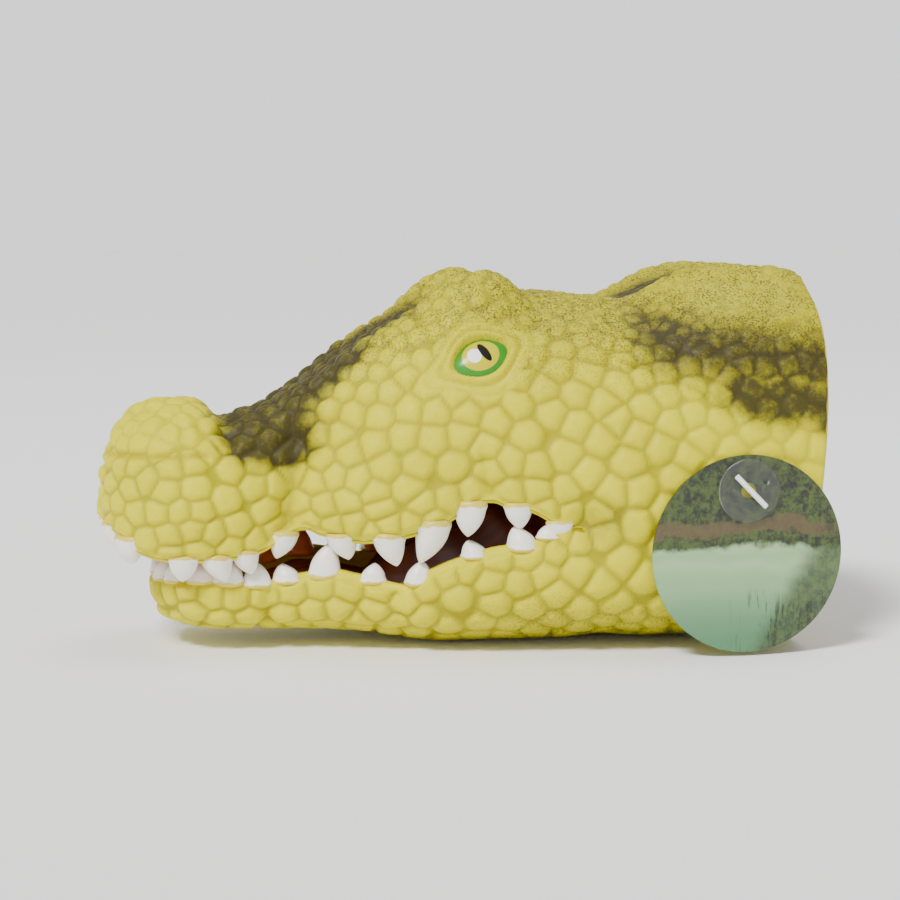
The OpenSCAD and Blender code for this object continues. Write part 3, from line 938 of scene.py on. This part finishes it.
def sprayed_rubber():
    """Soft vinyl-like rubber, slush moulded, airbrushed and speckled: a clean lemon yellow-green
    with olive painted shade in the grooves and creases, a sooty brown-black spray on top, laid
    heavier in the grooves, in the neck crease and in the hollow behind the mouth corner as painted
    shade, and a fine dark fleck over the back. It scatters light a little under the surface and has
    a low waxy gloss."""
    m = finish_named("moulded_rubber_airbrushed")
    base = blended(m, ramped(m, noise(m, 22), 0.35, 0.7), linear("#D2C800"), linear("#DCD200"))
    base = painted(m, base, mark(m, "chance"), 0.28, "#E4DC00")
    # Painted shade: olive darkening in the grooves and creases.
    base = painted(m, base, mark(m, "groove_shade"), 0.66, "#8C8208")
    base = painted(m, base, mark(m, "speckle"), 0.5, "#8F8620")
    fleck = ramped(m, noise(m, 0.5, 1.0), 0.50, 0.60)
    blotch = ramped(m, noise(m, 5.0, 3.0), 0.2, 0.6)
    fleck = times(m, fleck, times(m, mark(m, "speckle"), blotch))
    base = painted(m, base, fleck, 0.85, "#4E4A24")
    cloud = sums(m, "ADD", 0.42, times(m, noise(m, 3.2, 6.0, 0.75), 1.3))
    sprayed = times(m, mark(m, "airbrush_and_shade"), cloud)
    # Painted shade: the spray is laid heavier in the grooves.
    sunk = sums(m, "ADD", 0.82, times(m, mark(m, "groove_shade"), 0.3))
    sprayed = ramped(m, times(m, sprayed, sunk), 0.1, 0.95)
    base = painted(m, base, sprayed, 0.95, "#352F1F")
    base = blended(m, mark(m, "inside"), base, linear("#C9B63A"))
    pebble = sums(m, "ADD", noise(m, 0.9, 3.0, 0.6), times(m, noise(m, 3.5), 0.8))
    rough = ranged(m, noise(m, 6.0, 3.0), 0.4, 0.56)
    return surface(m, {
        "Base Color": base, "Roughness": rough, "IOR": 1.5, "Specular IOR Level": 0.14,
        "Subsurface Weight": 0.08,
        "Subsurface Radius": (0.004, 0.003, 0.001), "Subsurface Scale": 0.5,
        "Normal": bump(m, pebble, 0.16, 0.75),
    })


def lining_rubber():
    """The mouth's own rubber, moulded smooth and sprayed peach orange, with painted shade that
    darkens it to brown towards the throat, and a painted dark shade line where it is pressed in
    along the gum."""
    m = finish_named("moulded_rubber_orange_lining")
    # Painted shade: the deep mark darkens the orange to brown towards the throat.
    base = blended(m, mark(m, "deep"), linear("#E98F42"), linear("#8A3A12"))
    mottle = ramped(m, noise(m, 14, 4.0), 0.3, 0.7)
    base = painted(m, base, mottle, 0.35, "#E0813F")
    # Painted shade: a dark brown band along the gum's fold and walls.
    base = painted(m, base, mark(m, "fold"), 0.9, "#4A2210")
    return surface(m, {
        "Base Color": base, "Roughness": 0.42, "IOR": 1.5, "Specular IOR Level": 0.14,
        "Subsurface Weight": 0.08,
        "Subsurface Radius": (0.004, 0.002, 0.001), "Subsurface Scale": 0.5,
        "Normal": bump(m, noise(m, 2.5, 4.0), 0.12, 0.6),
    })


def brushed_teeth():
    """Rubber teeth hand brushed with thick white paint on their outer face; the inner face keeps
    the orange of the lining, and the brush line wanders."""
    m = finish_named("moulded_rubber_white_brushed")
    wander = times(m, sums(m, "SUBTRACT", noise(m, 2.2, 3.0), 0.5), 1.4)
    edge = sums(m, "ADD", mark(m, "outer"), wander)
    white = ramped(m, edge, -0.62, -0.42)
    foot = ramped(m, sums(m, "ADD", mark(m, "height"), times(m, wander, 0.2)), -0.06, 0.02)
    base = blended(m, foot, linear("#DCC84A"), linear("#F7F4EA"))
    base = blended(m, white, linear("#E08A45"), base)
    return surface(m, {
        "Base Color": base, "Roughness": 0.32, "IOR": 1.5, "Subsurface Weight": 0.1,
        "Subsurface Radius": (0.002, 0.0015, 0.001), "Subsurface Scale": 0.5,
        "Normal": bump(m, noise(m, 1.6, 3.0), 0.12, 0.6),
    })


def painted_eye():
    """Gloss paint on rubber: green almond, yellow iris, black slit and a dab of white."""
    m = finish_named("gloss_paint_on_rubber_eye")
    wander = times(m, sums(m, "SUBTRACT", noise(m, 1.5, 3.0), 0.5), 0.5)
    base = blended(m, noise(m, 2.0, 3.0), linear("#2A7A1C"), linear("#43962F"))
    for name, colour in (("iris", "#C4BA00"), ("glint", "#FBFBF6"), ("slit", "#17150F")):
        crisp = ramped(m, sums(m, "ADD", mark(m, name), wander), 0.42, 0.58)
        base = blended(m, crisp, base, linear(colour))
    return surface(m, {
        "Base Color": base, "Roughness": 0.3, "IOR": 1.5, "Specular IOR Level": 0.25,
        "Coat Weight": 0.12, "Coat Roughness": 0.1,
        "Normal": bump(m, noise(m, 1.2, 2.0), 0.05, 0.5),
    })


def printed_card():
    """Coated card, offset printed and varnished: a swamp, with dark trees over pale green water, a
    brown bank, and reeds. Heights on the card are mm over the table, and along is mm to the rear."""
    m = finish_named("coated_card_printed_swamp")
    place = own_place(m)
    split = m.node_tree.nodes.new("ShaderNodeSeparateXYZ")
    m.node_tree.links.new(place, split.inputs[0])
    height = sums(m, "DIVIDE", split.outputs["Z"], MM)
    along = sums(m, "DIVIDE", split.outputs["Y"], MM)
    wavy = sums(m, "ADD", height, times(m, noise(m, 9, 4.0, 0.6), 9.0))
    lit = ramped(m, noise(m, 1.6, 5.0, 0.7), 0.35, 0.65)
    leaves = blended(m, lit, linear("#12180A"), linear("#46581C"))
    water = blended(m, ramped(m, height, 4, 24), linear("#4E8058"), linear("#98BA88"))
    ripple = add(
        m, "ShaderNodeTexWave", {"bands_direction": "Z"},
        {"Vector": place, "Scale": 60.0, "Distortion": 6.0, "Detail": 2.0},
    )
    water = painted(m, water, ripple, 0.22, "#5E8E66")
    base = blended(m, ramped(m, wavy, 29.5, 31.5), water, leaves)
    under_trees = sums(m, "SUBTRACT", 1.0, ramped(m, wavy, 36.5, 37.5))
    bank = times(m, ramped(m, wavy, 33.5, 34.2), under_trees)
    base = painted(m, base, bank, 0.75, "#5C4A2C")
    stalks = add(m, "ShaderNodeMapping", None, {"Vector": place, "Scale": (1.0, 9.0, 1.0)})
    reed = add(
        m, "ShaderNodeTexNoise", None,
        {"Vector": stalks, "Scale": 110.0, "Detail": 3.0, "Distortion": 0.8},
    )
    shallow = sums(m, "SUBTRACT", 1.0, ramped(m, wavy, 15, 22))
    reeds = times(m, ramped(m, reed, 0.54, 0.6), shallow)
    reeds = times(m, reeds, ramped(m, along, -6, 4))
    base = blended(m, reeds, base, linear("#33401C"))
    corner = ramped(m, sums(m, "SUBTRACT", along, times(m, wavy, 0.6)), -5.0, 2.0)
    base = blended(m, times(m, corner, 0.85), base, leaves)
    return surface(m, {
        "Base Color": base, "Roughness": 0.3, "IOR": 1.5, "Coat Weight": 0.25,
        "Coat Roughness": 0.15, "Normal": bump(m, noise(m, 0.8, 2.0), 0.02, 0.4),
    })


def clear_film():
    """Clear stamped vinyl washer, with fine haze and a few scuffs."""
    m = finish_named("clear_vinyl_stamped")
    haze = ramped(m, noise(m, 3.0, 4.0), 0.2, 0.9)
    rough = ranged(m, haze, 0.05, 0.16)
    return surface(m, {
        "Base Color": blended(m, haze, linear("#FFFFFF"), linear("#F2F6F4")),
        "Roughness": rough, "IOR": 1.35, "Transmission Weight": 1.0,
        "Normal": bump(m, noise(m, 2.0, 3.0), 0.03, 0.5),
    })


def tack_nylon():
    """White nylon fastener, injection moulded: slightly translucent with a satin skin."""
    m = finish_named("white_nylon_moulded")
    tint = blended(m, noise(m, 2.0, 3.0), linear("#F4F4EE"), linear("#FFFFFC"))
    return surface(m, {
        "Base Color": tint, "Roughness": 0.38, "IOR": 1.53, "Subsurface Weight": 0.2,
        "Subsurface Radius": (0.001, 0.001, 0.001), "Subsurface Scale": 0.5,
        "Normal": bump(m, noise(m, 0.6, 2.0), 0.02, 0.4),
    })


def pale_floor():
    """Plain pale sweep under the puppet."""
    m = finish_named("matt_white_sweep")
    tone = blended(m, noise(m, 300, 2.0), linear("#FAFAF9"), linear("#FCFCFB"))
    return surface(m, {"Base Color": tone, "Roughness": 0.85})


# -------- assembly


def build_puppet():
    """Makes every piece, and ties the upper skin, palate, upper teeth and eyes to the head's body;
    the tag keeps its imported parts with new finishes.
    """
    rubber, orange = sprayed_rubber(), lining_rubber()
    *both, up, low, up_n, low_n, eyes = build_skin()
    skin = skin_with_lip("upper_skin", both, up, up_n, upper_half, 0, -1, rubber)
    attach(skin, "head")
    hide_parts("head_skin")
    jaw = skin_with_lip("lower_skin", both, low, low_n, lower_half, JAW_AT, 1, rubber)
    bend_at_throat(jaw)
    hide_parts("jaw_skin", "throat_web", "neck_sleeve")

    palate, floor = build_linings()
    roof_piece = make_piece("palate", *palate, orange, "rubber_lining")
    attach(roof_piece, "head")
    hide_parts("palate_lining")
    floor_piece = make_piece("mouth_floor", *floor, orange, "rubber_lining")
    bend_at_throat(floor_piece)
    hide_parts("floor_lining")

    white = brushed_teeth()
    rng = np.random.default_rng(11)
    nodes = sorted(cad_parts)
    upper = tooth_row(UPPER_TEETH, upper_half, 0, upper_lip, -1, rng)
    upper_piece = make_piece("upper_teeth", *upper, white, "tooth_paint")
    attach(upper_piece, "head")
    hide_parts(*[n for n in nodes if n.startswith("upper_tooth")])
    lower = tooth_row(LOWER_TEETH, lower_half, JAW_AT, lower_lip, 1, rng)
    lower_piece = make_piece("lower_teeth", *lower, white, "tooth_paint")
    bend_at_throat(lower_piece)
    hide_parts(*[n for n in nodes if n.startswith("lower_tooth")])

    paint = painted_eye()
    for side, eye in zip(("left", "right"), eyes):
        ball = make_piece(f"{side}_eye", *build_eye(eye), paint, "eye_paint")
        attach(ball, "head")
        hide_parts(f"eye_{side}")

    for node, material in (
        ("tag_card", printed_card()), ("tag_washer", clear_film()), ("tag_tack", tack_nylon()),
    ):
        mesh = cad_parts[node].data
        mesh.materials.clear()
        mesh.materials.append(material)


def lay_floor():
    """Plain square floor at the table's height."""
    mesh, wide = bpy.data.meshes.new("floor"), 6.0
    mesh.from_pydata(
        [(-wide, -wide, 0), (wide, -wide, 0), (wide, wide, 0), (-wide, wide, 0)], [], [(0, 1, 2, 3)]
    )
    mesh.materials.append(pale_floor())
    ground = put_in_scene("floor", mesh)


def light_world():
    """White surround, bright near the horizon and dim overhead."""
    world = bpy.data.worlds.new("studio")
    world.use_nodes = True
    sky = world.node_tree.nodes["Background"]
    sky.inputs["Color"].default_value = linear("#FFFFFF")
    place = world.node_tree.nodes.new("ShaderNodeTexCoord")
    split = world.node_tree.nodes.new("ShaderNodeSeparateXYZ")
    fall = world.node_tree.nodes.new("ShaderNodeMapRange")
    fall.interpolation_type = "SMOOTHSTEP"
    world.node_tree.links.new(place.outputs["Generated"], split.inputs[0])
    world.node_tree.links.new(split.outputs["Z"], fall.inputs["Value"])
    world.node_tree.links.new(fall.outputs[0], sky.inputs["Strength"])
    for key, value in {"From Min": 0.2, "From Max": 0.5, "To Min": 1.35, "To Max": 0.34}.items():
        fall.inputs[key].default_value = value
    bpy.context.scene.world = world


def light_puppet(middle):
    """A soft sun from the front left and a square soft box overhead."""
    sun = bpy.data.lights.new("key", "SUN")
    sun.energy, sun.angle = 4.0, 0.25
    key = put_in_scene("key", sun)
    key.rotation_euler = Vector((0.5, -0.5, 0.8)).to_track_quat("Z", "Y").to_euler()
    box = bpy.data.lights.new("top", "AREA")
    box.shape, box.size, box.energy = "SQUARE", 0.6, 4.0
    top = put_in_scene("top", box)
    top.location = (-0.2, 0.2, 1.1)
    top.rotation_euler = (Vector(middle) - top.location).to_track_quat("-Z", "Y").to_euler()


def aim_camera(middle):
    """Camera on the puppet's left, a little to its front and a little above the table."""
    around, above, lens, far = math.radians(77), math.radians(6), 90.0, 0.56
    back = Vector(
        (math.sin(around) * math.cos(above), -math.cos(around) * math.cos(above), math.sin(above))
    )
    data = bpy.data.cameras.new("camera")
    data.lens, data.clip_start, data.clip_end = lens, 0.01, 50
    camera = put_in_scene("camera", data)
    camera.location = middle + back * far
    camera.rotation_euler = (-back).to_track_quat("-Z", "Y").to_euler()
    bpy.context.scene.camera = camera


def build_studio():
    """Floor, lights and camera."""
    lo, hi = cad_box
    middle = (lo + hi) / 2
    lay_floor()
    light_world()
    light_puppet(middle)
    aim_camera(middle)


build_puppet()
build_studio()
